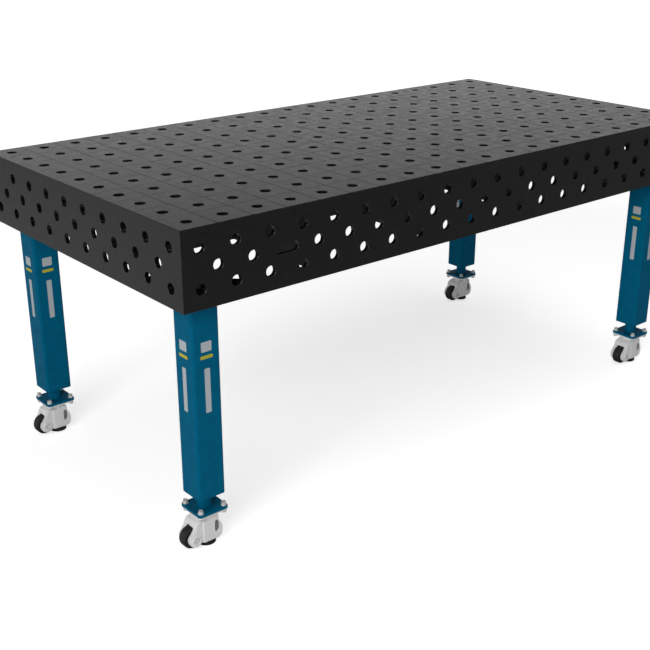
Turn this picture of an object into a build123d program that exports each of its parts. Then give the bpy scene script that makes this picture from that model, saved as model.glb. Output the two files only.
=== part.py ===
from build123d import *
import math
import os

os.makedirs("parts", exist_ok=True)

# ---- overall sizes -------------------------------------------------------
LENGTH = 2000.0          # table top, along X
WIDTH = 1000.0           # table top, along Y
HEIGHT = 878.0           # floor to work surface
SLAB_DEPTH = 200.0       # top plate and side walls together

# ---- hole system ---------------------------------------------------------
HOLE_D = 28.0
PITCH = 100.0
PLATE = 12.0             # top plate and side walls
RIB = 8.0                # ribs under the top plate
RIB_DEPTH = 157.0        # below the top plate
RIB_SPACING = 400.0
RIB_FIRST = 370.0        # first cross rib, from the left end; between two rows of holes
LONG_RIB_Y = 180.0       # long ribs, each side of the middle; between two rows of holes
SLOT_LENGTH = 70.0       # long slot that takes the place of one hole in the front wall
SLOT_HEIGHT = 28.0
SLOT_FROM_END = 300.0

# ---- legs ----------------------------------------------------------------
TUBE = 80.0
TUBE_WALL = 5.0
TUBE_RADIUS = 8.0
LEG_INSET = 47.0         # outer face of the tube, in from the edge of the top
TUBE_GAP = 38.0          # clear height between the tube and the adapter plate
CAP_T = 16.0             # threaded plate welded into the top of the tube
CAP_EDGE = 13.0          # bolt line, in from the wall of the tube
SEAT_T = 12.0            # corner plate of the slab that a leg is bolted to
SEAT_LEG = 294.0         # its two straight sides
STUB_D = 38.0
PLUG_T = 10.0
PLUG_UP = 40.0           # underside of the plug, above the end of the tube

# ---- adapter plate and caster plate --------------------------------------
ADAPTER = 90.0
ADAPTER_T = 8.0
ADAPTER_RADIUS = 9.0
CASTER_PLATE = 86.0
CASTER_PLATE_T = 5.0
CASTER_PLATE_RADIUS = 8.0
CASTER_H = 102.0         # floor to the top of the caster plate
CASTER_BOLTS = 70.0
RACE_D = 58.0
RACE_T = 5.0
RACE_GAP = 1.0
KING_D = 12.0
KING_NUT_AF = 18.0
KING_NUT_T = 9.0

# ---- fasteners -----------------------------------------------------------
SCREW_D = 8.0            # caster screws
SCREW_HEAD_D = 13.0
SCREW_HEAD_H = 8.0
SCREW_SOCKET = 6.0
WASHER_D = 16.0
WASHER_T = 1.6
SCREW_NUT_AF = 13.0
SCREW_NUT_T = 6.5
SCREW_TIP = 2.0          # thread left standing past the nut
BOLT_D = 12.0            # leg bolts
BOLT_AF = 19.0
BOLT_HEAD_T = 8.0

# ---- caster, measured from its swivel axis and from the floor -------------
BODY_W = 60.0            # side faces of the housing
BODY_FRONT = 26.0        # where the fork arms leave the drum
BODY_TOP = 84.0
NECK_TOP = 91.0
NECK_D = 56.0
COVER_Z = 16.0           # underside of the bottom cover
COVER_T = 4.0
COVER_SPIGOT = 14.0
REAR_RADIUS = 41.0       # rounded back of the housing, seen from the side
REAR_X = -8.0
REAR_Z = 40.0
REAR_FLAT = 22.0
TRAIL = 45.5             # wheel axle behind the swivel axis
AXLE_Z = 31.5
WHEEL_D = 60.0
WHEEL_W = 25.0
WHEEL_ROUND = 4.0
WHEEL_HUB_D = 26.0
POCKET_W = 29.0
POCKET_GAP = 2.0
ARM_W = 55.0
ARM_END_D = 40.0
HUB_D = 27.0
HUB_W = 60.0
HUB_SINK = 3.0
HUB_SINK_D = 18.0
AXLE_D = 12.0
AXLE_HEAD_D = 16.0
AXLE_HEAD_T = 2.6
BORE_D = 21.6            # inside the housing, round the spindle
SPINDLE_D = 14.0
SPINDLE_TOP = 66.0
PAD_D = 51.0
PAD_TOP_D = 43.0
PAD_T = 10.0
PAD_RIM = 5.0
PAD_SEAT = 4.0
DIAL_D = 37.0
DIAL_T = 9.0
DIAL_X = 16.0
DIAL_Y = -12.5
DIAL_Z = 53.0
DIAL_TEETH = 36
DIAL_SHAFT_D = 9.0
DIAL_WINDOW = 33.0       # height of the opening in the side of the housing
KNURL = 0.7

# ---- clearances ----------------------------------------------------------
BOLT_FIT = 1.0           # on diameter, screws in plain holes
TURN_FIT = 0.16          # on diameter, turning pairs
SLIDE_FIT = 0.16         # on diameter, spindle in its guide
DIAL_FIT = 1.2           # beside and around the dial
SEAT_FIT = 0.2           # on diameter, pieces fixed in one another

slab_z = HEIGHT - SLAB_DEPTH
wall_h = SLAB_DEPTH - PLATE
adapter_top = CASTER_H + ADAPTER_T
tube_bottom = adapter_top + TUBE_GAP
plate_under = CASTER_H - CASTER_PLATE_T
inner_w = TUBE - 2 * TUBE_WALL
leg_pattern = inner_w - 2 * CAP_EDGE
leg_x = LENGTH / 2 - LEG_INSET - TUBE / 2
leg_y = WIDTH / 2 - LEG_INSET - TUBE / 2
CORNERS = {"fl": (-leg_x, -leg_y), "fr": (leg_x, -leg_y),
           "bl": (-leg_x, leg_y), "br": (leg_x, leg_y)}


def save(name, shape):
    export_step(shape, f"parts/{name}.step")


def drum(d, h, z=0.0, x=0.0, y=0.0):
    """Upright cylinder standing on z."""
    return Pos(x, y, z) * Cylinder(d / 2, h, align=(Align.CENTER, Align.CENTER, Align.MIN))


def drum_y(d, w, x=0.0, z=0.0, y=0.0):
    """Cylinder lying along Y, centred on y."""
    return Pos(x, y, z) * Rot(90, 0, 0) * Cylinder(d / 2, w)


def drum_x(d, w, x=0.0, y=0.0, z=0.0):
    return Pos(x, y, z) * Rot(0, 90, 0) * Cylinder(d / 2, w)


def block(w, d, h, x=0.0, y=0.0, z=0.0):
    return Pos(x, y, z) * Box(w, d, h, align=(Align.CENTER, Align.CENTER, Align.MIN))


def round_block(w, r, h, z=0.0):
    """Square plate with rounded corners standing on z."""
    return Pos(0, 0, z) * extrude(RectangleRounded(w, w, r), h)


def hexagon(af, h, z=0.0):
    return Pos(0, 0, z) * extrude(RegularPolygon(af / math.sqrt(3), 6), h)


def square_spots(pattern):
    p = pattern / 2
    return [(-p, -p), (p, -p), (-p, p), (p, p)]


def spots(span, first):
    """Hole positions along one edge, first one `first` in from the end, one pitch apart."""
    n = int((span - 2 * first) / PITCH + 1e-6) + 1
    start = -(n - 1) * PITCH / 2
    return [start + i * PITCH for i in range(n)]


def top_plate():
    xs, ys = spots(LENGTH, PITCH / 2), spots(WIDTH, PITCH / 2)
    face = Rectangle(LENGTH, WIDTH)
    face -= [Pos(x, y) * Circle(HOLE_D / 2) for x in xs for y in ys]
    return Pos(0, 0, HEIGHT - PLATE) * extrude(face, PLATE)


def wall(span, length, slot_at=None):
    """Side wall lying flat: local Y is the height, the top of the table at +SLAB_DEPTH."""
    face = Pos(0, wall_h / 2) * Rectangle(length, wall_h)
    outer, middle = spots(span, PITCH / 2), spots(span, PITCH)
    holes = [(x, SLAB_DEPTH - PITCH / 2) for x in outer]
    holes += [(x, SLAB_DEPTH - PITCH) for x in middle if slot_at is None or abs(x - slot_at) > 1]
    holes += [(x, SLAB_DEPTH - PITCH * 1.5) for x in outer]
    cuts = [Pos(x, y) * Circle(HOLE_D / 2) for x, y in holes if abs(x) < length / 2 - HOLE_D]
    if slot_at is not None:
        cuts.append(Pos(slot_at, SLAB_DEPTH - PITCH) * SlotOverall(SLOT_LENGTH, SLOT_HEIGHT))
    return extrude(face - cuts, PLATE)


def slab():
    save("top_plate", top_plate())
    slot_x = min(spots(LENGTH, PITCH), key=lambda x: abs(x + LENGTH / 2 - SLOT_FROM_END))
    front = wall(LENGTH, LENGTH, slot_x)
    save("front_wall", Pos(0, -WIDTH / 2 + PLATE, slab_z) * Rot(90, 0, 0) * front)
    back = wall(LENGTH, LENGTH)
    save("back_wall", Pos(0, WIDTH / 2, slab_z) * Rot(90, 0, 0) * back)
    end = wall(WIDTH, WIDTH - 2 * PLATE)
    for name, x in (("left_end", -LENGTH / 2), ("right_end", LENGTH / 2 - PLATE)):
        save(name, Plane((x, 0, slab_z), x_dir=(0, 1, 0), z_dir=(1, 0, 0)) * end)
    # cross ribs are slotted from below, the long ribs from above, half the depth each
    count = int((LENGTH - RIB_FIRST - SEAT_LEG) / RIB_SPACING) + 1
    rib_xs = [-LENGTH / 2 + RIB_FIRST + i * RIB_SPACING for i in range(count)]
    rib_ys = [-LONG_RIB_Y, LONG_RIB_Y]
    top_z = HEIGHT - PLATE
    low_z = top_z - RIB_DEPTH
    mid_z = top_z - RIB_DEPTH / 2
    for i, x in enumerate(rib_xs):
        rib = block(RIB, WIDTH - 2 * PLATE, RIB_DEPTH, x, 0, low_z)
        for y in rib_ys:
            rib -= block(RIB, RIB, RIB_DEPTH / 2, x, y, low_z)
        save(f"cross_rib_{i + 1}", rib)
    for i, y in enumerate(rib_ys):
        rib = block(LENGTH - 2 * PLATE, RIB, RIB_DEPTH, 0, y, low_z)
        for x in rib_xs:
            rib -= block(RIB, RIB, RIB_DEPTH / 2, x, y, mid_z)
        save(f"long_rib_{i + 1}", rib)


def leg():
    """Square tube, open below, with a threaded plate welded flush into its top."""
    outer = RectangleRounded(TUBE, TUBE, TUBE_RADIUS)
    inner = RectangleRounded(inner_w, inner_w, TUBE_RADIUS - TUBE_WALL)
    tube = Pos(0, 0, tube_bottom) * extrude(outer - inner, slab_z - tube_bottom)
    cap = round_block(inner_w, TUBE_RADIUS - TUBE_WALL, CAP_T, slab_z - CAP_T)
    for x, y in square_spots(leg_pattern):
        cap -= drum(BOLT_D, CAP_T, slab_z - CAP_T, x, y)
    return tube + cap


def leg_seat(cx, cy):
    """Three-cornered plate welded between two side walls, flush with their lower edges."""
    sx, sy = math.copysign(1, cx), math.copysign(1, cy)
    x, y = sx * (LENGTH / 2 - PLATE), sy * (WIDTH / 2 - PLATE)
    outline = Polyline((x, y), (x - sx * SEAT_LEG, y), (x, y - sy * SEAT_LEG), close=True)
    plate = Pos(0, 0, slab_z) * extrude(make_face(outline), SEAT_T, dir=(0, 0, 1))
    for dx, dy in square_spots(leg_pattern):
        plate -= drum(BOLT_D + BOLT_FIT, SEAT_T, slab_z, cx + dx, cy + dy)
    return plate


def leg_foot():
    """Adapter plate, round stub and the plug that closes the tube, welded together."""
    plate = round_block(ADAPTER, ADAPTER_RADIUS, ADAPTER_T, CASTER_H)
    for x, y in square_spots(CASTER_BOLTS):
        plate -= drum(SCREW_D + BOLT_FIT, ADAPTER_T, CASTER_H, x, y)
    plug_z = tube_bottom + PLUG_UP
    stub = drum(STUB_D, plug_z - adapter_top, adapter_top)
    plug = round_block(inner_w, TUBE_RADIUS - TUBE_WALL, PLUG_T, plug_z)
    return plate + stub + plug


def caster_plate():
    """Caster top plate with its race and king pin."""
    plate = round_block(CASTER_PLATE, CASTER_PLATE_RADIUS, CASTER_PLATE_T, plate_under)
    for x, y in square_spots(CASTER_BOLTS):
        plate -= drum(SCREW_D + BOLT_FIT, CASTER_PLATE_T, plate_under, x, y)
    race_under = plate_under - RACE_T
    race = drum(RACE_D, RACE_T, race_under)
    pin_low = BODY_TOP - 4.0 - KING_NUT_T
    return plate + race + drum(KING_D, race_under - pin_low, pin_low)


def king_nut():
    z = BODY_TOP - 4.0 - KING_NUT_T
    return hexagon(KING_NUT_AF, KING_NUT_T, z) - drum(KING_D, KING_NUT_T, z)


def caster_screw():
    """Socket head screw with its washer, seen from the adapter plate down."""
    z = adapter_top + WASHER_T
    washer = drum(WASHER_D, WASHER_T, adapter_top)
    head = drum(SCREW_HEAD_D, SCREW_HEAD_H, z)
    head -= hexagon(SCREW_SOCKET, SCREW_HEAD_H / 2, z + SCREW_HEAD_H / 2)
    low = plate_under - SCREW_NUT_T - SCREW_TIP
    return washer + head + drum(SCREW_D, z - low, low)


def caster_nut():
    z = plate_under - SCREW_NUT_T
    return hexagon(SCREW_NUT_AF, SCREW_NUT_T, z) - drum(SCREW_D, SCREW_NUT_T, z)


def leg_bolt():
    z = slab_z + SEAT_T
    return hexagon(BOLT_AF, BOLT_HEAD_T, z) + drum(BOLT_D, SEAT_T + CAP_T, slab_z - CAP_T)


def housing():
    """Cast caster housing: neck, drum with a rounded back, and two fork arms."""
    low = COVER_Z + COVER_T
    arc_z = BODY_TOP - 16.0
    rear_top = REAR_X + math.sqrt(REAR_RADIUS ** 2 - (arc_z - REAR_Z) ** 2)
    rear_low = REAR_X + math.sqrt(REAR_RADIUS ** 2 - (low - REAR_Z) ** 2)
    with BuildPart() as body:
        with BuildSketch(Plane.XZ):
            with BuildLine():
                Polyline((rear_top, arc_z), (REAR_FLAT, arc_z + 1), (REAR_FLAT, BODY_TOP),
                         (-BODY_FRONT, BODY_TOP), (-BODY_FRONT, low), (rear_low, low))
                ThreePointArc((rear_low, low), (REAR_X + REAR_RADIUS, REAR_Z), (rear_top, arc_z))
            make_face()
        extrude(amount=BODY_W / 2, both=True)
    solid = body.part
    upright = [e for e in solid.edges().filter_by(GeomType.LINE)
               if abs(e.center().Z - (BODY_TOP + low) / 2) < 12 and e.length > 40]
    solid = fillet(upright, 4)
    with BuildPart() as arms:
        with BuildSketch(Plane.XZ):
            with BuildLine():
                Polyline((-20, BODY_TOP), (-31, BODY_TOP), (-39, 79), (-45, 71), (-50, 58),
                         (-TRAIL - ARM_END_D / 2, AXLE_Z + 4), (-TRAIL - ARM_END_D / 2, AXLE_Z),
                         (-TRAIL, AXLE_Z - ARM_END_D / 2 + 2), (-BODY_FRONT, low), (-20, low),
                         (-20, BODY_TOP))
            make_face()
        extrude(amount=ARM_W / 2, both=True)
    reach = arms.part + drum_y(ARM_END_D, ARM_W, -TRAIL, AXLE_Z)
    solid = solid + reach + drum_y(HUB_D, HUB_W, -TRAIL, AXLE_Z)
    solid += drum(NECK_D, NECK_TOP - BODY_TOP + 2, BODY_TOP - 2)
    # wheel pocket, open to the front and below
    pocket_d = WHEEL_D + 2 * POCKET_GAP
    solid -= drum_y(pocket_d, POCKET_W, -TRAIL, AXLE_Z)
    solid -= block(pocket_d, POCKET_W, pocket_d / 2, -TRAIL - pocket_d / 2, 0, AXLE_Z)
    solid -= drum_y(AXLE_D + SEAT_FIT, HUB_W, -TRAIL, AXLE_Z)
    for side in (-1, 1):
        solid -= drum_y(HUB_SINK_D, HUB_SINK, -TRAIL, AXLE_Z, side * (HUB_W - HUB_SINK) / 2)
    # king pin, spindle and dial
    nut_seat = BODY_TOP - 4.0
    solid -= drum(KING_D + TURN_FIT, NECK_TOP - nut_seat, nut_seat)
    solid -= drum(BORE_D, nut_seat - low, low)
    solid -= drum_x(DIAL_D + 2 * DIAL_FIT, DIAL_T + 2 * DIAL_FIT, DIAL_X, DIAL_Y, DIAL_Z)
    window = SlotOverall(DIAL_WINDOW, DIAL_T + 2 * DIAL_FIT, rotation=90)
    depth = BODY_W / 2 + DIAL_Y
    cut = Pos(DIAL_X, -BODY_W / 2, DIAL_Z) * Rot(90, 0, 0) * extrude(window, -depth / 2)
    solid -= cut
    solid -= drum_x(DIAL_SHAFT_D + TURN_FIT, 16, DIAL_X + 4, DIAL_Y, DIAL_Z)
    return solid


def housing_cover():
    """Bottom cover of the housing with the guide for the spindle."""
    low = COVER_Z + COVER_T
    rear = REAR_X + math.sqrt(REAR_RADIUS ** 2 - (low - REAR_Z) ** 2) - 1.5
    plate = block(rear + BODY_FRONT, BODY_W - 3, COVER_T, (rear - BODY_FRONT) / 2, 0, COVER_Z)
    plate = fillet(plate.edges().filter_by(Axis.Z), 6)
    plate += drum(BORE_D - SEAT_FIT * 2, COVER_SPIGOT, low)
    pocket_d = WHEEL_D + 2 * POCKET_GAP
    plate -= drum_y(pocket_d, POCKET_W, -TRAIL, AXLE_Z)
    return plate - drum(SPINDLE_D + SLIDE_FIT, COVER_T + COVER_SPIGOT, COVER_Z)


def axle():
    """Axle bolt with a low head at each side, sunk in the hubs."""
    head_y = HUB_W / 2 - HUB_SINK
    bolt = drum_y(AXLE_D, 2 * head_y, -TRAIL, AXLE_Z)
    for side in (-1, 1):
        y = side * (head_y + AXLE_HEAD_T / 2)
        head = drum_y(AXLE_HEAD_D, AXLE_HEAD_T, -TRAIL, AXLE_Z, y)
        key = extrude(RegularPolygon(4, 6), 1.4 / 2, both=True)
        outer = side * (head_y + AXLE_HEAD_T - 0.7)
        bolt += head - Pos(-TRAIL, outer, AXLE_Z) * Rot(90, 0, 0) * key
    return bolt


def wheel():
    body = drum_y(WHEEL_D, WHEEL_W)
    body = fillet(body.edges().filter_by(GeomType.CIRCLE), WHEEL_ROUND)
    body += drum_y(WHEEL_HUB_D, WHEEL_W + 3)
    body -= drum_y(AXLE_D + TURN_FIT, WHEEL_W + 3)
    return Pos(-TRAIL, 0, AXLE_Z) * body


def pad():
    """Levelling pad: a straight rim on the floor, then a cone up to the neck."""
    body = drum(PAD_D, PAD_RIM)
    cone = Pos(0, 0, PAD_RIM) * Cone(PAD_D / 2, PAD_TOP_D / 2, PAD_T - PAD_RIM,
                                     align=(Align.CENTER, Align.CENTER, Align.MIN))
    body += cone
    return body - drum(SPINDLE_D + SEAT_FIT, PAD_T - PAD_SEAT, PAD_SEAT)


def spindle():
    stem = drum(SPINDLE_D, SPINDLE_TOP - PAD_SEAT, PAD_SEAT)
    top = stem.edges().filter_by(GeomType.CIRCLE).sort_by(Axis.Z)[-1]
    stem = chamfer(top, 1.5)
    # round bead that holds the pad on the stem
    bead = drum(SPINDLE_D + 5, 2, PAD_T)
    return stem + bead


def dial():
    """Thumb wheel of the levelling foot, with its shaft and a grooved rim."""
    points = []
    for i in range(DIAL_TEETH * 2):
        a = math.pi * i / DIAL_TEETH
        r = DIAL_D / 2 - (KNURL if i % 2 else 0.0)
        points.append((r * math.cos(a), r * math.sin(a)))
    disc = extrude(make_face(Polyline(*points, close=True)), DIAL_T / 2, both=True)
    disc = Rot(0, 90, 0) * disc
    disc += drum_x(DIAL_SHAFT_D, 14, 4, 0, 0)
    return Pos(DIAL_X, DIAL_Y, DIAL_Z) * disc


def group(make, places):
    base = make()
    return Compound(children=[Pos(x, y, 0) * base for x, y in places])


slab()
leg_part, foot_part, plate_part = leg(), leg_foot(), caster_plate()
moving = {"housing": housing(), "cover": housing_cover(), "axle": axle(), "wheel": wheel(),
          "pad": pad(), "spindle": spindle(), "dial": dial()}
for tag, (cx, cy) in CORNERS.items():
    save(f"leg_{tag}", Pos(cx, cy, 0) * leg_part)
    save(f"leg_seat_{tag}", leg_seat(cx, cy))
    save(f"leg_foot_{tag}", Pos(cx, cy, 0) * foot_part)
    save(f"caster_plate_{tag}", Pos(cx, cy, 0) * plate_part)
    for piece, shape in moving.items():
        save(f"{piece}_{tag}", Pos(cx, cy, 0) * shape)

corner_list = list(CORNERS.values())
caster_spots = [(cx + x, cy + y) for cx, cy in corner_list for x, y in square_spots(CASTER_BOLTS)]
leg_bolt_spots = [(cx + x, cy + y) for cx, cy in corner_list for x, y in square_spots(leg_pattern)]
save("king_nuts", group(king_nut, corner_list))
save("caster_screws", group(caster_screw, caster_spots))
save("caster_nuts", group(caster_nut, caster_spots))
save("leg_bolts", group(leg_bolt, leg_bolt_spots))
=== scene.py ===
import bpy, bmesh
from math import radians, pi, sqrt
from mathutils import Matrix, Vector


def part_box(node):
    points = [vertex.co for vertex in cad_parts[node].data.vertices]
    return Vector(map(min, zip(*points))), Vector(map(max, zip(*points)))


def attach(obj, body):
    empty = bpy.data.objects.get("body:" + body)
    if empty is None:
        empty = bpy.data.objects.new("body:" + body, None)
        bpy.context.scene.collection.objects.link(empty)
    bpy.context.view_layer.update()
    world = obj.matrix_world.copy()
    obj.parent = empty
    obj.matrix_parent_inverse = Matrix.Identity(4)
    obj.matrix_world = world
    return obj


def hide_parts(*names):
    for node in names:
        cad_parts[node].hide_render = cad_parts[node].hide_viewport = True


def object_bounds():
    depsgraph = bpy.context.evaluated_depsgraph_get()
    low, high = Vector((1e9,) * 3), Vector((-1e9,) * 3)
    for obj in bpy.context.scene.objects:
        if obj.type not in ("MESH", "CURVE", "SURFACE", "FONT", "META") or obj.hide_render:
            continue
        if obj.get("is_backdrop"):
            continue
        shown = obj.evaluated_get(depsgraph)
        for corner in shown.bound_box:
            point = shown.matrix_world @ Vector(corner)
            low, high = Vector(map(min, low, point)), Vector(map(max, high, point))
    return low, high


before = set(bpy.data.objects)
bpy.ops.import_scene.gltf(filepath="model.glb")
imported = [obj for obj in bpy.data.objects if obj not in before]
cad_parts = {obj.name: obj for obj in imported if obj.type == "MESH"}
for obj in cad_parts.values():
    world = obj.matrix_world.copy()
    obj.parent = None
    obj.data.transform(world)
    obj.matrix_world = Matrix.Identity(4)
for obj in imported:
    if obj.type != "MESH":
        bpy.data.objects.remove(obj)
cadLow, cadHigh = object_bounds()
corners = ["fl", "fr", "bl", "br"]
mm = 0.001
near, exact = 1e-5, 1e-6  # metres within which two places count as one
print("frame loaded")


def newGroup(name, inputs, outputs):
    group = bpy.data.node_groups.new(name, "ShaderNodeTree")
    for socketName, kind, value in inputs:
        socket = group.interface.new_socket(name=socketName, in_out="INPUT", socket_type=kind)
        if value is not None:
            socket.default_value = value
    for socketName, kind in outputs:
        group.interface.new_socket(name=socketName, in_out="OUTPUT", socket_type=kind)
    return group, group.nodes.new("NodeGroupInput"), group.nodes.new("NodeGroupOutput")


def addNode(tree, kind, settings=None, values=None):
    # one node, its properties and its socket values; a socket given as a value is linked
    node = tree.nodes.new(kind)
    for key, value in (settings or {}).items():
        setattr(node, key, value)
    for key, value in (values or {}).items():
        if isinstance(value, bpy.types.NodeSocket):
            tree.links.new(value, node.inputs[key])
        else:
            node.inputs[key].default_value = value
    return node


def mathNode(tree, operation, a, b=None, clamp=False):
    values = {0: a} if b is None else {0: a, 1: b}
    return addNode(tree, "ShaderNodeMath", {"operation": operation, "use_clamp": clamp}, values).outputs[0]


def mixColor(tree, factor, a, b, blend="MIX"):
    return addNode(tree, "ShaderNodeMix", {"data_type": "RGBA", "blend_type": blend},
                   {0: factor, 6: a, 7: b}).outputs[2]


def grainGroup():
    # fine blasted or rolled grain: two sizes of noise as one height
    group, given, out = newGroup("surfaceGrain",
        [("Vector", "NodeSocketVector", None), ("Scale", "NodeSocketFloat", 900.0),
         ("Coarse", "NodeSocketFloat", 0.3)],
        [("Height", "NodeSocketFloat"), ("Blotch", "NodeSocketFloat")])
    fine = addNode(group, "ShaderNodeTexNoise", None,
                   {"Vector": given.outputs["Vector"], "Scale": given.outputs["Scale"],
                    "Detail": 3.0, "Roughness": 0.6})
    wide = mathNode(group, "MULTIPLY", given.outputs["Scale"], 0.06)
    broad = addNode(group, "ShaderNodeTexNoise", None,
                    {"Vector": given.outputs["Vector"], "Scale": wide, "Detail": 4.0, "Roughness": 0.55})
    share = mathNode(group, "MULTIPLY", broad.outputs["Fac"], given.outputs["Coarse"])
    group.links.new(mathNode(group, "ADD", fine.outputs["Fac"], share), out.inputs["Height"])
    group.links.new(broad.outputs["Fac"], out.inputs["Blotch"])
    return group


def edgeGroup():
    # lighter along edges, where the rounded normal leaves the true one, broken up by noise: partly wear,
    # partly a painted edge highlight
    group, given, out = newGroup("edgeWearAndHighlight",
        [("Vector", "NodeSocketVector", None), ("Width", "NodeSocketFloat", 0.002),
         ("Amount", "NodeSocketFloat", 1.0)],
        [("LightAndWear", "NodeSocketFloat")])
    rounded = addNode(group, "ShaderNodeBevel", {"samples": 4}, {"Radius": given.outputs["Width"]})
    surface = addNode(group, "ShaderNodeNewGeometry")
    dot = addNode(group, "ShaderNodeVectorMath", {"operation": "DOT_PRODUCT"},
                  {0: rounded.outputs[0], 1: surface.outputs["Normal"]})
    bend = mathNode(group, "SUBTRACT", 1.0, dot.outputs["Value"])
    noise = addNode(group, "ShaderNodeTexNoise", None,
                    {"Vector": given.outputs["Vector"], "Scale": 60.0, "Detail": 5.0})
    broken = addNode(group, "ShaderNodeMapRange", None,
                     {"Value": noise.outputs["Fac"], "From Min": 0.35, "From Max": 0.7})
    raw = mathNode(group, "MULTIPLY", mathNode(group, "MULTIPLY", bend, 4.0, True), broken.outputs[0])
    group.links.new(mathNode(group, "MULTIPLY", raw, given.outputs["Amount"], True), out.inputs["LightAndWear"])
    return group


def dustGroup():
    # a thin film that lies on faces that look up, thicker where the noise is high
    group, given, out = newGroup("restingDust",
        [("Vector", "NodeSocketVector", None), ("Amount", "NodeSocketFloat", 0.2)],
        [("Film", "NodeSocketFloat")])
    surface = addNode(group, "ShaderNodeNewGeometry")
    up = addNode(group, "ShaderNodeSeparateXYZ", None, {0: surface.outputs["Normal"]})
    lying = mathNode(group, "MAXIMUM", up.outputs["Z"], 0.0)
    noise = addNode(group, "ShaderNodeTexNoise", None,
                    {"Vector": given.outputs["Vector"], "Scale": 7.0, "Detail": 6.0, "Roughness": 0.65})
    patch = addNode(group, "ShaderNodeMapRange", None,
                    {"Value": noise.outputs["Fac"], "From Min": 0.3, "From Max": 0.75})
    patchy = mathNode(group, "MULTIPLY", lying, patch.outputs[0])
    film = mathNode(group, "MULTIPLY", patchy, given.outputs["Amount"])
    group.links.new(film, out.inputs["Film"])
    return group


grain, edgeWearAndHighlight, dust = grainGroup(), edgeGroup(), dustGroup()
finish = {}
allFinishes = {"speck": 0.35, "dustColor": (0.30, 0.29, 0.28, 1), "roughFrom": 0.3, "roughTo": 0.7}


def makeFinish(name, look):
    material = bpy.data.materials.new(name)
    material.use_nodes = True
    tree = material.node_tree
    tree.nodes.clear()
    place = addNode(tree, "ShaderNodeTexCoord").outputs["Object"]
    texture = addNode(tree, "ShaderNodeGroup", {"node_tree": grain},
                      {"Vector": place, "Scale": look["grain"], "Coarse": look["coarse"]})
    base = mixColor(tree, texture.outputs["Blotch"], (*look["base"], 1), (*look["blotch"], 1))
    speckShare = mathNode(tree, "MULTIPLY", texture.outputs["Height"], allFinishes["speck"])
    speck = mixColor(tree, speckShare, base, (0, 0, 0, 1), "SOFT_LIGHT")
    wornAndHighlighted = addNode(tree, "ShaderNodeGroup", {"node_tree": edgeWearAndHighlight},
                   {"Vector": place, "Width": look["wearAndHighlightWidth"], "Amount": look["wearAndHighlight"]})
    # the lighter edge colour goes on here: partly wear, partly a painted edge highlight
    color = mixColor(tree, wornAndHighlighted.outputs["LightAndWear"], speck, (*look["wornAndHighlighted"], 1))
    film = addNode(tree, "ShaderNodeGroup", {"node_tree": dust}, {"Vector": place, "Amount": look["dust"]})
    color = mixColor(tree, film.outputs["Film"], color, allFinishes["dustColor"])
    rough = addNode(tree, "ShaderNodeMapRange", None,
                    {"Value": texture.outputs["Blotch"],
                     "From Min": allFinishes["roughFrom"], "From Max": allFinishes["roughTo"],
                     "To Min": look["rough"] - look["roughSpread"] / 2,
                     "To Max": look["rough"] + look["roughSpread"] / 2})
    bump = addNode(tree, "ShaderNodeBump", None,
                   {"Strength": look["bump"], "Distance": look["bumpDepth"],
                    "Height": texture.outputs["Height"]})
    shader = addNode(tree, "ShaderNodeBsdfPrincipled", None,
                     {"Base Color": color, "Roughness": rough.outputs[0], "Metallic": look["metallic"],
                      "Specular IOR Level": look["specular"], "Normal": bump.outputs[0]})
    addNode(tree, "ShaderNodeOutputMaterial", None, {"Surface": shader.outputs[0]})
    finish[name] = material


print("shader groups made")


def toPiece(bm, name, material, body, nodes=(), sharpAngle=32, matrix=None):
    # the bmesh becomes an object at the origin, with its place in its mesh
    if matrix is not None:
        bmesh.ops.transform(bm, matrix=matrix, verts=bm.verts)
    bmesh.ops.recalc_face_normals(bm, faces=bm.faces)
    mesh = bpy.data.meshes.new(name)
    bm.to_mesh(mesh)
    bm.free()
    mesh.polygons.foreach_set("use_smooth", [True] * len(mesh.polygons))
    mesh.set_sharp_from_angle(angle=radians(sharpAngle))
    piece = bpy.data.objects.new(name, mesh)
    bpy.context.scene.collection.objects.link(piece)
    mesh.materials.append(finish[material])
    even = piece.modifiers.new("evenShade", "WEIGHTED_NORMAL")  # keeps flat faces flat beside rounded edges
    even.keep_sharp = True
    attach(piece, body)
    if nodes:
        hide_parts(*nodes)
    return piece


def nodeMesh(node):
    # a merged copy of a CAD node's mesh to work on
    bm = bmesh.new()
    bm.from_mesh(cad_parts[node].data)
    bmesh.ops.remove_doubles(bm, verts=bm.verts, dist=0.000002)
    bmesh.ops.dissolve_limit(bm, angle_limit=radians(0.4), verts=bm.verts, edges=bm.edges)
    return bm


def bevelSharp(bm, width, segments=2, angle=35, keep=None):
    # rounds the edges that turn by more than the angle
    sharp = [e for e in bm.edges if len(e.link_faces) == 2
             and e.calc_face_angle(0) > radians(angle) and (keep is None or keep(e))]
    if sharp:
        bmesh.ops.bevel(bm, geom=sharp, offset=width, offset_type="OFFSET", affect="EDGES", segments=segments,
                        profile=0.5, material=-1, clamp_overlap=True, loop_slide=True)


def setFinish(node, material):
    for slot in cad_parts[node].material_slots:
        slot.material = finish[material]


def centre(node):
    low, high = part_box(node)
    return (Vector(low) + Vector(high)) / 2


def softened(node, width, segments=2, angle=35):
    # a CAD node's shape with its sharp edges rounded
    bm = nodeMesh(node)
    bevelSharp(bm, width, segments, angle)
    return bm


def atCorners(bm, name, nodeStem, bodyStem, material, sharpAngle=32):
    # the shape made for the front left corner is copied to all four
    start = centre(nodeStem + "_fl")
    for tag in corners:
        node = nodeStem + "_" + tag
        copy = bm.copy()
        body = bodyStem if bodyStem == "table" else bodyStem + "_" + tag
        toPiece(copy, name + "_" + tag, material, body, [node], sharpAngle,
                Matrix.Translation(centre(node) - start))
    bm.free()


# the lighter edge colour that each finish gives is partly wear and partly a painted edge highlight
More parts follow.
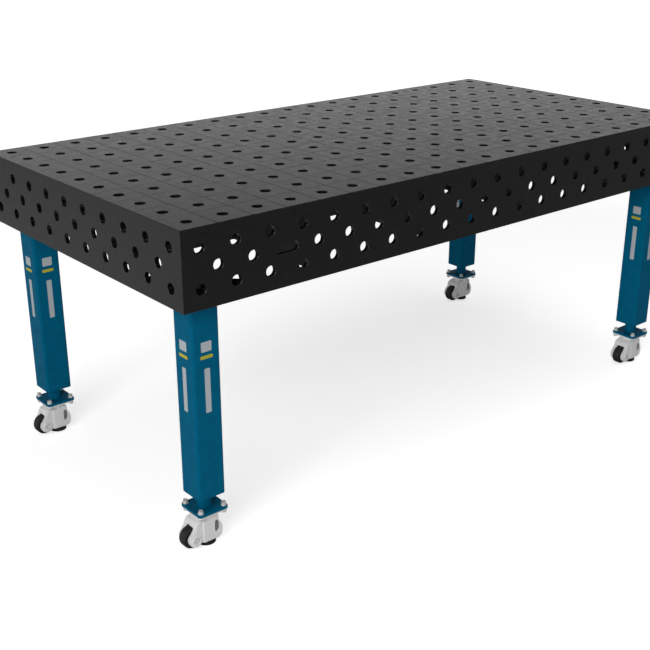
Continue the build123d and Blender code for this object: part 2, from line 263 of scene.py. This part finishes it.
makeFinish("nitridedPlate", {
    "base": (0.0028, 0.0028, 0.0029), "blotch": (0.0042, 0.0042, 0.0043), "wornAndHighlighted": (0.04, 0.04, 0.04),
    "metallic": 0.0, "rough": 0.31, "roughSpread": 0.10, "specular": 0.55, "grain": 900.0, "coarse": 0.5,
    "bump": 0.10, "bumpDepth": 0.00025, "wearAndHighlight": 0.35, "wearAndHighlightWidth": 0.0012, "dust": 0.012})
makeFinish("rawRib", {
    "base": (0.008, 0.008, 0.0083), "blotch": (0.014, 0.0137, 0.0134), "wornAndHighlighted": (0.07, 0.07, 0.07),
    "metallic": 0.0, "rough": 0.55, "roughSpread": 0.12, "specular": 0.5, "grain": 500.0, "coarse": 0.8,
    "bump": 0.15, "bumpDepth": 0.0004, "wearAndHighlight": 0.3, "wearAndHighlightWidth": 0.0015, "dust": 0.03})


holes = {"radius": 14 * mm, "segments": 32, "pitch": 100 * mm, "rim": 0.7 * mm,
         "lineWidth": 2.0 * mm, "lineDepth": 1.1 * mm, "slotLength": 70 * mm, "slotFromEnd": 300 * mm}


def edgesOf(verts):
    return list({e for v in verts for e in v.link_edges})


def vertsOf(made):
    return [g for g in made["geom"] if isinstance(g, bmesh.types.BMVert)]


def addMesh(target, part):
    # adds one bmesh to another and frees it
    mesh = bpy.data.meshes.new("part")
    part.to_mesh(mesh)
    part.free()
    target.from_mesh(mesh)
    bpy.data.meshes.remove(mesh)


def squareLoop(bm, size, cuts):
    made = bmesh.ops.create_circle(bm, segments=4, radius=size / sqrt(2),
                                   matrix=Matrix.Rotation(pi / 4, 4, "Z"))
    loop = edgesOf(made["verts"])
    if cuts:
        split = bmesh.ops.subdivide_edges(bm, edges=loop, cuts=cuts)
        loop = list(set(loop) | {g for g in split["geom_split"] if isinstance(g, bmesh.types.BMEdge)})
    return loop


def holeCell(size, lineWidth=0.0):
    # one square of plate with its round hole, and a border strip if a line is engraved round it
    bm = bmesh.new()
    ring = bmesh.ops.create_circle(bm, segments=holes["segments"], radius=holes["radius"])
    loop = edgesOf(ring["verts"])
    cuts = holes["segments"] // 4 - 1
    inner = squareLoop(bm, size - lineWidth, cuts)
    bmesh.ops.bridge_loops(bm, edges=loop + inner)
    if lineWidth:
        outer = squareLoop(bm, size, cuts)
        bmesh.ops.bridge_loops(bm, edges=inner + outer)
    return bm


def plainCell(size):
    # one square of plate without a hole, its sides cut as finely as a drilled square's
    bm = bmesh.new()
    cuts = holes["segments"] // 4
    bmesh.ops.create_grid(bm, x_segments=cuts, y_segments=cuts, size=size / 2)
    return bm


def stamp(target, cell, x, y):
    # adds a copy of the cell at a place
    copy = cell.copy()
    bmesh.ops.translate(copy, vec=(x, y, 0), verts=copy.verts)
    addMesh(target, copy)


def growEdge(bm, axis, side, to):
    # pulls a strip out of one side of a flat sheet, as far as a given place
    limit = max(v.co[axis] * side for v in bm.verts)
    if abs(limit - to * side) < exact:
        return
    rim = [e for e in bm.edges if e.is_boundary
           and all(abs(v.co[axis] * side - limit) < exact for v in e.verts)]
    for v in vertsOf(bmesh.ops.extrude_edge_only(bm, edges=rim)):
        v.co[axis] = to


def thicken(bm, depth):
    # turns the sheet into a plate; its outer face stays and the inner one is flat
    for face in bm.faces:
        if face.normal.z < 0:
            face.normal_flip()
    for v in vertsOf(bmesh.ops.extrude_face_region(bm, geom=list(bm.faces), use_keep_orig=True)):
        v.co.z = -depth
    bmesh.ops.recalc_face_normals(bm, faces=bm.faces)


def gridSpots(count, pitch):
    return [(i - (count - 1) / 2) * pitch for i in range(count)]


def topPlate():
    low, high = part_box("top_plate")
    size = Vector(high) - Vector(low)
    pitch = holes["pitch"]
    xs, ys = gridSpots(round(size.x / pitch), pitch), gridSpots(round(size.y / pitch), pitch)
    cell = holeCell(pitch, holes["lineWidth"])
    bm = bmesh.new()
    for x in xs:
        for y in ys:
            stamp(bm, cell, x, y)
    cell.free()
    bmesh.ops.remove_doubles(bm, verts=bm.verts, dist=near)
    half = (size.x / 2, size.y / 2)

    def offLine(place, axis):  # distance from the nearest engraved line, or from the plate's edge
        return abs((place + half[axis] + pitch / 2) % pitch - pitch / 2)

    def onRim(v, axis):
        return abs(v.co[axis]) > half[axis] - holes["rim"] - near

    for v in bm.verts:  # the engraved lines are pressed in and run out through the edges
        if any(offLine(v.co[axis], axis) < near and abs(v.co[axis]) < half[axis] - near for axis in (0, 1)):
            v.co.z = -holes["lineDepth"]
    for v in bm.verts:  # room for the chamfer round the plate
        for axis in (0, 1):
            inner = half[axis] - holes["rim"]
            v.co[axis] = max(-inner, min(inner, v.co[axis]))
    border = [e for e in bm.edges if e.is_boundary
              and any(all(onRim(v, axis) for v in e.verts) for axis in (0, 1))]
    for v in vertsOf(bmesh.ops.extrude_edge_only(bm, edges=border)):
        for axis in (0, 1):
            if onRim(v, axis):
                v.co[axis] = half[axis] if v.co[axis] > 0 else -half[axis]
        v.co.z = min(v.co.z, -holes["rim"])
    thicken(bm, size.z)

    def fromHole(v):  # distance from the middle of the nearest hole
        return sqrt(sum((pitch / 2 - offLine(v.co[axis], axis)) ** 2 for axis in (0, 1)))

    def holeRim(e):
        return all(v.co.z > -exact and abs(fromHole(v) - holes["radius"]) < 0.1 * mm for v in e.verts)

    bevelSharp(bm, holes["rim"], 1, 60, holeRim)
    return toPiece(bm, "topPlate", "nitridedPlate", "table", ["top_plate"], 30,
                   Matrix.Translation((0, 0, high[2])))


def drilledWall(name, node, length, turn, place, slotAt=None):
    # laid flat with z = 0 as its outer face and y up from the middle row of holes
    low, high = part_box(node)
    isLong = name in ("frontWall", "backWall")
    cellSize = holes["pitch"] / 2
    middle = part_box("top_plate")[1][2] - holes["pitch"]
    columns = gridSpots(int(round(length / cellSize)) - 1, cellSize)
    bm = bmesh.new()
    holeSquare, plainSquare = holeCell(cellSize), plainCell(cellSize)
    for row in (-1, 0, 1):
        for x in columns:
            isMiddle = round(x / cellSize) % 2 == 0
            if slotAt is not None and row == 0 and abs(x - slotAt) < cellSize * 1.1:
                continue
            drilled = isMiddle if row == 0 else not isMiddle
            stamp(bm, holeSquare if drilled else plainSquare, x, row * cellSize)
    holeSquare.free()
    plainSquare.free()
    bmesh.ops.remove_doubles(bm, verts=bm.verts, dist=near)
    if slotAt is not None:  # the slot fills the gap that three squares of the middle row leave
        around = [e for e in bm.edges if e.is_boundary
                  and all(abs(v.co.x - slotAt) < cellSize * 1.6 and abs(v.co.y) < cellSize * 0.51
                          for v in e.verts)]
        ring = bmesh.ops.create_circle(bm, segments=holes["segments"] * 2, radius=holes["radius"])
        stretch = holes["slotLength"] / 2 - holes["radius"]
        for v in ring["verts"]:
            v.co.x += slotAt + (stretch if v.co.x > exact else -stretch if v.co.x < -exact else 0)
        bmesh.ops.triangle_fill(bm, use_beauty=True, use_dissolve=False,
                                edges=around + edgesOf(ring["verts"]), normal=(0, 0, 1))
    growEdge(bm, 1, 1, high[2] - middle)
    growEdge(bm, 1, -1, low[2] - middle)
    growEdge(bm, 0, 1, length / 2)
    growEdge(bm, 0, -1, -length / 2)
    thicken(bm, min(high[0] - low[0], high[1] - low[1]))
    topEdge, sideEdge = high[2] - middle - near, length / 2 - near

    def rimEdge(e):  # hole rims and the lower edge on the outer face, and the long walls' upright corners
        if all(v.co.y > topEdge for v in e.verts) or any(v.co.z < -exact for v in e.verts):
            return False
        return isLong or any(abs(v.co.x) < sideEdge for v in e.verts)

    bevelSharp(bm, holes["rim"], 1, 60, rimEdge)
    return toPiece(bm, name, "nitridedPlate", "table", [node], 30,
                   Matrix.Translation((place[0], place[1], middle)) @ turn)


halfLength, halfWidth = cadHigh[0], cadHigh[1]
length, width = 2 * halfLength, 2 * halfWidth
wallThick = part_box("front_wall")[1][1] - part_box("front_wall")[0][1]
upright = Matrix.Rotation(pi / 2, 4, "X")
topPlate()
drilledWall("frontWall", "front_wall", length, upright, (0, -halfWidth), -halfLength + holes["slotFromEnd"])
drilledWall("backWall", "back_wall", length, Matrix.Rotation(pi, 4, "Z") @ upright, (0, halfWidth))
for name, node, side in (("leftEnd", "left_end", -1), ("rightEnd", "right_end", 1)):
    drilledWall(name, node, width - 2 * wallThick, Matrix.Rotation(side * pi / 2, 4, "Z") @ upright,
                (side * halfLength, 0))
print("slab made")

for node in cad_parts:
    if node.startswith(("cross_rib", "long_rib", "leg_seat")):
        setFinish(node, "rawRib")

makeFinish("petrolPaint", {
    "base": (0.0, 0.160, 0.286), "blotch": (0.0, 0.168, 0.300), "wornAndHighlighted": (0.0, 0.23, 0.38),
    "metallic": 0.0, "rough": 0.45, "roughSpread": 0.06, "specular": 0.03, "grain": 650.0, "coarse": 1.2,
    "bump": 0.16, "bumpDepth": 0.00022, "wearAndHighlight": 0.3, "wearAndHighlightWidth": 0.0012, "dust": 0.0})
leg = {"edge": 0.8 * mm, "footEdge": 0.9 * mm, "adapterThick": 8 * mm}
weld = {"ringRadius": 19.6 * mm, "bead": 2.2 * mm, "up": 1.2 * mm, "sides": 10, "steps": 72,
        "ripple": 0.25 * mm}

atCorners(softened("leg_fl", leg["edge"]), "legTube", "leg", "table", "petrolPaint")
atCorners(softened("leg_foot_fl", leg["footEdge"]), "legFoot", "leg_foot", "table", "petrolPaint")


sideways = Matrix.Rotation(pi / 2, 4, "X")


def weldBead(height):
    # a small rippled ring where the stub meets the adapter plate
    bm = bmesh.new()
    ring = bmesh.ops.create_circle(bm, segments=weld["sides"], radius=weld["bead"],
                                   matrix=Matrix.Translation((weld["ringRadius"], 0, 0)) @ sideways)
    bmesh.ops.spin(bm, geom=ring["verts"] + edgesOf(ring["verts"]), cent=(0, 0, 0), axis=(0, 0, 1),
                   angle=2 * pi, steps=weld["steps"], use_merge=True)
    for v in bm.verts:
        turn = round(Vector((1, 0)).angle_signed(Vector((v.co.x, v.co.y))) / (2 * pi) * weld["steps"])
        v.co.z += weld["ripple"] * (1 if turn % 3 == 0 else -0.5)
    bmesh.ops.translate(bm, vec=(0, 0, height), verts=bm.verts)
    return bm


axisAt = {tag: centre("leg_" + tag) for tag in corners}
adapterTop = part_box("caster_plate_fl")[1][2] + leg["adapterThick"]
for tag in corners:
    toPiece(weldBead(adapterTop + weld["up"]), "stubWeld_" + tag, "petrolPaint", "table", (), 60,
            Matrix.Translation((axisAt[tag].x, axisAt[tag].y, 0)))

vinyl = {"metallic": 0.0, "rough": 0.36, "roughSpread": 0.05, "specular": 0.4, "grain": 900.0, "coarse": 1.0,
         "bump": 0.05, "bumpDepth": 0.0001, "wearAndHighlight": 0.0, "wearAndHighlightWidth": 0.0005, "dust": 0.0}
makeFinish("whiteVinyl", {
    **vinyl, "base": (0.50, 0.54, 0.56), "blotch": (0.56, 0.60, 0.62), "wornAndHighlighted": (0.7, 0.72, 0.74)})
makeFinish("yellowVinyl", {
    **vinyl, "base": (0.52, 0.48, 0.03), "blotch": (0.58, 0.54, 0.04), "wornAndHighlighted": (0.7, 0.65, 0.2)})
stripes = {"thickness": 0.15 * mm, "corner": 2.5 * mm, "cornerSteps": 4,
           "white": [(30 * mm, 26 * mm, 0, 116 * mm), (16 * mm, 118 * mm, 0, 232 * mm)],
           "yellow": [(36 * mm, 9 * mm, 0, 143 * mm)]}


def stripeSheet(patches):
    # plain rounded patches, each with its width, height and place below the slab; they lie in x and z
    bm = bmesh.new()
    for wide, high, across, down in patches:
        made = bmesh.ops.create_grid(bm, x_segments=1, y_segments=1, size=0.5)
        bmesh.ops.scale(bm, vec=(wide, high, 1), verts=made["verts"])
        bmesh.ops.translate(bm, vec=(across, -down, 0), verts=made["verts"])
    bmesh.ops.bevel(bm, geom=list(bm.verts), offset=stripes["corner"], affect="VERTICES",
                    segments=stripes["cornerSteps"], profile=0.5, material=-1)
    up = bmesh.ops.extrude_face_region(bm, geom=list(bm.faces), use_keep_orig=True)
    bmesh.ops.translate(bm, vec=(0, 0, stripes["thickness"]), verts=vertsOf(up))
    bmesh.ops.rotate(bm, cent=(0, 0, 0), matrix=Matrix.Rotation(pi / 2, 3, "X"), verts=bm.verts)
    return bm


for tag in corners:
    low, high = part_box("leg_" + tag)
    onFront = Matrix.Translation((axisAt[tag].x, low[1], high[2]))
    onSide = Matrix.Translation((low[0], axisAt[tag].y, high[2])) @ Matrix.Rotation(-pi / 2, 4, "Z")
    for color in ("white", "yellow"):
        bm = bmesh.new()
        for place in (onFront, onSide):
            sheet = stripeSheet(stripes[color])
            bmesh.ops.transform(sheet, matrix=place, verts=sheet.verts)
            addMesh(bm, sheet)
        toPiece(bm, color + "Stripes_" + tag, color + "Vinyl", "table", ())
print("legs made")

makeFinish("castAluminium", {
    "base": (0.85, 0.855, 0.85), "blotch": (0.90, 0.905, 0.90), "wornAndHighlighted": (0.9, 0.9, 0.9),
    "metallic": 0.10, "rough": 0.46, "roughSpread": 0.10, "specular": 0.5, "grain": 1500.0, "coarse": 0.5,
    "bump": 0.28, "bumpDepth": 0.00025, "wearAndHighlight": 0.5, "wearAndHighlightWidth": 0.0010, "dust": 0.0})
makeFinish("brightZinc", {
    "base": (0.78, 0.79, 0.79), "blotch": (0.86, 0.86, 0.84), "wornAndHighlighted": (0.92, 0.92, 0.92),
    "metallic": 0.45, "rough": 0.27, "roughSpread": 0.10, "specular": 0.5, "grain": 1200.0, "coarse": 0.4,
    "bump": 0.10, "bumpDepth": 0.00015, "wearAndHighlight": 0.3, "wearAndHighlightWidth": 0.0006, "dust": 0.0})
makeFinish("blackNylon", {
    "base": (0.013, 0.013, 0.014), "blotch": (0.019, 0.019, 0.020), "wornAndHighlighted": (0.05, 0.05, 0.05),
    "metallic": 0.0, "rough": 0.55, "roughSpread": 0.12, "specular": 0.45, "grain": 1300.0, "coarse": 0.6,
    "bump": 0.22, "bumpDepth": 0.0003, "wearAndHighlight": 0.25, "wearAndHighlightWidth": 0.0012, "dust": 0.05})
makeFinish("padRubber", {
    "base": (0.010, 0.010, 0.010), "blotch": (0.017, 0.017, 0.017), "wornAndHighlighted": (0.035, 0.035, 0.035),
    "metallic": 0.0, "rough": 0.78, "roughSpread": 0.10, "specular": 0.35, "grain": 1000.0, "coarse": 0.8,
    "bump": 0.35, "bumpDepth": 0.0003, "wearAndHighlight": 0.2, "wearAndHighlightWidth": 0.0010, "dust": 0.10})
makeFinish("dialPlastic", {
    "base": (0.20, 0.205, 0.21), "blotch": (0.25, 0.255, 0.26), "wornAndHighlighted": (0.4, 0.4, 0.4),
    "metallic": 0.0, "rough": 0.5, "roughSpread": 0.1, "specular": 0.5, "grain": 1400.0, "coarse": 0.5,
    "bump": 0.2, "bumpDepth": 0.0002, "wearAndHighlight": 0.3, "wearAndHighlightWidth": 0.0008, "dust": 0.0})

casting = {"neck": 7 * mm, "shoulderOut": 27 * mm, "shoulderWithin": 0.2 * mm, "topRound": 7 * mm,
           "topSteps": 5, "voxel": 1.1 * mm, "smoothing": 0.5, "softness": 5, "keepFaces": 0.45,
           "edge": 0.7 * mm}


def castHousing():
    # the edges are worn soft all over, as a die casting's are after blasting
    bm = nodeMesh("housing_fl")
    shoulder = max(v.co.z for v in bm.verts) - casting["neck"]
    middle = centre("housing_fl").y
    shoulders = [e for e in bm.edges if all(abs(v.co.z - shoulder) < casting["shoulderWithin"]
                 and abs(v.co.y - middle) > casting["shoulderOut"] for v in e.verts)]
    bmesh.ops.bevel(bm, geom=shoulders, offset=casting["topRound"], affect="EDGES",
                    segments=casting["topSteps"], profile=0.5, material=-1, clamp_overlap=False)
    mesh = bpy.data.meshes.new("casting")
    bm.to_mesh(mesh)
    bm.free()
    rough = bpy.data.objects.new("casting", mesh)
    bpy.context.scene.collection.objects.link(rough)
    skin = rough.modifiers.new("skin", "REMESH")
    skin.mode, skin.voxel_size = "VOXEL", casting["voxel"]
    soft = rough.modifiers.new("soft", "SMOOTH")
    soft.factor, soft.iterations = casting["smoothing"], casting["softness"]
    thin = rough.modifiers.new("thin", "DECIMATE")
    thin.ratio = casting["keepFaces"]
    done = bpy.data.meshes.new_from_object(rough.evaluated_get(bpy.context.evaluated_depsgraph_get()))
    bpy.data.objects.remove(rough)
    cast = bmesh.new()
    cast.from_mesh(done)
    bpy.data.meshes.remove(done)
    return cast


atCorners(castHousing(), "casterHousing", "housing", "caster", "castAluminium", 70)
atCorners(softened("cover_fl", casting["edge"]), "casterCover", "cover", "caster", "castAluminium")
atCorners(softened("caster_plate_fl", casting["edge"]), "casterPlate", "caster_plate", "table",
          "castAluminium")


def spun(profile, steps, place, turn=None):
    # a closed profile of radius and height, turned about the z axis
    bm = bmesh.new()
    verts = [bm.verts.new((r, 0, z)) for r, z in profile]
    lines = [bm.edges.new(pair) for pair in zip(verts, verts[1:])]
    bmesh.ops.spin(bm, geom=verts + lines, cent=(0, 0, 0), axis=(0, 0, 1), angle=2 * pi,
                   steps=steps, use_merge=True)
    bmesh.ops.remove_doubles(bm, verts=bm.verts, dist=near)
    bmesh.ops.transform(bm, matrix=Matrix.Translation(place) @ (turn or Matrix.Identity(4)), verts=bm.verts)
    return bm


wheel = {"radius": 30 * mm, "half": 12.5 * mm, "hub": 13 * mm, "hubHalf": 14 * mm, "bore": 6.08 * mm,
         "web": 10.5 * mm, "rimInner": 22.5 * mm, "step": 1 * mm, "draft": 0.5 * mm, "edge": 3.2 * mm,
         "edgeRound": 0.3, "seam": 0.25 * mm, "seamHalf": 0.6 * mm, "seamFloor": 0.2 * mm,
         "steps": 72, "soften": 0.5 * mm}


def wheelSide():
    # one side of the wheel, from its bore out to the seam on the tread
    radius, half, hub, hubHalf = wheel["radius"], wheel["half"], wheel["hub"], wheel["hubHalf"]
    web, rimInner, step = wheel["web"], wheel["rimInner"], wheel["step"]
    edge, shoulder = wheel["edge"], wheel["edge"] * wheel["edgeRound"]
    return [(wheel["bore"], hubHalf), (hub - step, hubHalf), (hub, hubHalf - step),
            (hub + wheel["draft"], web), (rimInner, web), (rimInner + step, half),
            (radius - edge, half), (radius - shoulder, half - shoulder), (radius, half - edge),
            (radius, wheel["seamHalf"]), (radius - wheel["seam"], wheel["seamFloor"])]


nearSide = wheelSide()
wheelProfile = nearSide + [(r, -z) for r, z in reversed(nearSide)] + [nearSide[0]]
wheelBody = spun(wheelProfile, wheel["steps"], centre("wheel_fl"), sideways)
bevelSharp(wheelBody, wheel["soften"], 2, 35)
atCorners(wheelBody, "casterWheel", "wheel", "wheel", "blackNylon")

axle = {"shaft": 6 * mm, "head": 8 * mm, "headThick": 2.6 * mm, "headEdge": 0.8 * mm, "dimple": 3.4 * mm,
        "dimpleFloor": 0.6, "dimpleDeep": 1.5 * mm, "steps": 40, "soften": 0.3 * mm}
low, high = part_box("axle_fl")
end = (high[1] - low[1]) / 2
headUnder, dimpleEnd = end - axle["headThick"], end - axle["dimpleDeep"]
headSide = [(0, dimpleEnd), (axle["dimple"] * axle["dimpleFloor"], dimpleEnd), (axle["dimple"], end),
            (axle["head"] - axle["headEdge"], end), (axle["head"], end - axle["headEdge"]),
            (axle["head"], headUnder), (axle["shaft"], headUnder)]
axleProfile = headSide + [(r, -z) for r, z in reversed(headSide)]
axleBody = spun(axleProfile, axle["steps"], centre("axle_fl"), sideways)
bevelSharp(axleBody, axle["soften"], 2, 40)
atCorners(axleBody, "casterAxle", "axle", "caster", "brightZinc")

soften = {"pad": 1.2 * mm, "spindle": 0.4 * mm, "dial": 0.25 * mm, "fastener": 0.4 * mm}
atCorners(softened("pad_fl", soften["pad"], 3), "footPad", "pad", "foot", "padRubber")
atCorners(softened("spindle_fl", soften["spindle"]), "footSpindle", "spindle", "foot", "brightZinc")
atCorners(softened("dial_fl", soften["dial"], 1), "thumbDial", "dial", "dial", "dialPlastic", 25)
for node, name in (("king_nuts", "kingNuts"), ("caster_screws", "casterScrews"),
                   ("caster_nuts", "casterNuts"), ("leg_bolts", "legBolts")):
    toPiece(softened(node, soften["fastener"], 1), name, "brightZinc", "table", [node])
print("casters made")

stage = {"floorSize": 160.0, "floorDrop": 0.4 * mm, "floorColor": (0.90, 0.90, 0.90, 1), "floorRough": 0.9,
         "floorLift": 0.65, "farLift": 1.1, "liftNear": 2.5, "liftFar": 7.0,
         "glossFront": 0.27, "glossBack": 1.0, "glossRight": 0.60,
         "glossFrom": -3.0, "glossTo": 4.5, "glossRightFrom": 0.5, "glossRightTo": 4.5,
         "skyHigh": 0.10, "skyLow": 1.9, "skyFade": 0.27, "skyLean": 0.35, "skyBright": (-0.3, 0.95, 0),
         "lens": 60.04, "sensor": 36, "viewEnd": 400,
         "cameraPlace": (-2.22486, -2.45995, 1.57800), "cameraTurn": (68.028, 0.0, -39.968)}

bm = bmesh.new()
bmesh.ops.create_grid(bm, x_segments=1, y_segments=1, size=stage["floorSize"] / 2)
bmesh.ops.translate(bm, vec=(0, 0, -stage["floorDrop"]), verts=bm.verts)  # clear of a lowered foot's top
floorMesh = bpy.data.meshes.new("floor")
bm.to_mesh(floorMesh)
bm.free()
floor = bpy.data.objects.new("floor", floorMesh)
bpy.context.scene.collection.objects.link(floor)
floorMaterial = bpy.data.materials.new("paleFloor")
floorMaterial.use_nodes = True
floorTree = floorMaterial.node_tree
floorShader = floorTree.nodes["Principled BSDF"]
floorShader.inputs["Roughness"].default_value = stage["floorRough"]
floorPath = addNode(floorTree, "ShaderNodeLightPath")
floorSpot = addNode(floorTree, "ShaderNodeTexCoord").outputs["Object"]
# painted light: for camera rays only the floor glows, weakest near the table and strongest far off, so the
# backdrop looks white beyond the soft shadow
away = addNode(floorTree, "ShaderNodeVectorMath", {"operation": "LENGTH"}, {0: floorSpot}).outputs["Value"]
glowOut = addNode(floorTree, "ShaderNodeMapRange", None,
                  {"Value": away, "From Min": stage["liftNear"], "From Max": stage["liftFar"],
                   "To Min": stage["floorLift"], "To Max": stage["farLift"]}).outputs[0]
lift = mixColor(floorTree, floorPath.outputs["Is Camera Ray"], (0, 0, 0, 1), glowOut)
# painted reflection: glossy rays see the floor darker towards the front and brighter towards the back and the
# right, which sets how bright its reflection in the table is
spot = addNode(floorTree, "ShaderNodeSeparateXYZ", None, {0: floorSpot})
across = mathNode(floorTree, "SUBTRACT", spot.outputs["Y"], spot.outputs["X"])
gloss = addNode(floorTree, "ShaderNodeMapRange", None,
                {"Value": across, "From Min": stage["glossFrom"], "From Max": stage["glossTo"],
                 "To Min": stage["glossFront"], "To Max": stage["glossBack"]}).outputs[0]
glossRight = addNode(floorTree, "ShaderNodeMapRange", None,
                     {"Value": spot.outputs["X"],
                      "From Min": stage["glossRightFrom"], "From Max": stage["glossRightTo"],
                      "To Min": stage["glossFront"], "To Max": stage["glossRight"]}).outputs[0]
gloss = mathNode(floorTree, "MAXIMUM", gloss, glossRight)
floorTree.links.new(mixColor(floorTree, floorPath.outputs["Is Glossy Ray"], stage["floorColor"], gloss),
                    floorShader.inputs["Base Color"])
floorTree.links.new(lift, floorShader.inputs["Emission Color"])
floorShader.inputs["Emission Strength"].default_value = 1.0
floorMesh.materials.append(floorMaterial)
floor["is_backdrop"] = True

world = bpy.data.worlds.new("studio")
bpy.context.scene.world = world
world.use_nodes = True
skyTree = world.node_tree
sky = skyTree.nodes["Background"]
direction = addNode(skyTree, "ShaderNodeTexCoord").outputs["Generated"]
height = addNode(skyTree, "ShaderNodeSeparateXYZ", None, {0: direction}).outputs["Z"]
glow = addNode(skyTree, "ShaderNodeMapRange", None,
               {"Value": height, "From Max": stage["skyFade"],
                "To Min": stage["skyLow"], "To Max": stage["skyHigh"]}).outputs[0]
toBright = addNode(skyTree, "ShaderNodeVectorMath", {"operation": "DOT_PRODUCT"},
                   {0: direction, 1: stage["skyBright"]}).outputs["Value"]
lean = mathNode(skyTree, "ADD", mathNode(skyTree, "MULTIPLY", toBright, stage["skyLean"]), 1.0)
skySeen = addNode(skyTree, "ShaderNodeLightPath").outputs["Is Camera Ray"]
skyColor = mixColor(skyTree, skySeen, mathNode(skyTree, "MULTIPLY", glow, lean), (1, 1, 1, 1))
skyTree.links.new(skyColor, sky.inputs["Color"])


def softLight(name, place, size, power, target=(0, 0, 0.5)):
    data = bpy.data.lights.new(name, "AREA")
    data.shape = "RECTANGLE"
    data.size, data.size_y = size
    data.energy = power
    light = bpy.data.objects.new(name, data)
    light.location = place
    light.rotation_euler = (Vector(target) - Vector(place)).to_track_quat("-Z", "Y").to_euler()
    bpy.context.scene.collection.objects.link(light)


softLight("keySoftbox", (-4.6, -3.0, 3.2), (3.0, 2.5), 150)
softLight("overheadSoftbox", (0.6, -0.6, 5.0), (3.5, 3.5), 70)

camera = bpy.data.objects.new("camera", bpy.data.cameras.new("camera"))
camera.data.lens = stage["lens"]
camera.data.sensor_width = stage["sensor"]
camera.location = stage["cameraPlace"]
camera.rotation_euler = [radians(a) for a in stage["cameraTurn"]]
camera.data.clip_end = stage["viewEnd"]
bpy.context.scene.collection.objects.link(camera)
bpy.context.scene.camera = camera
bpy.context.scene.view_settings.view_transform = "Standard"
print("stage set")

low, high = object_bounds()
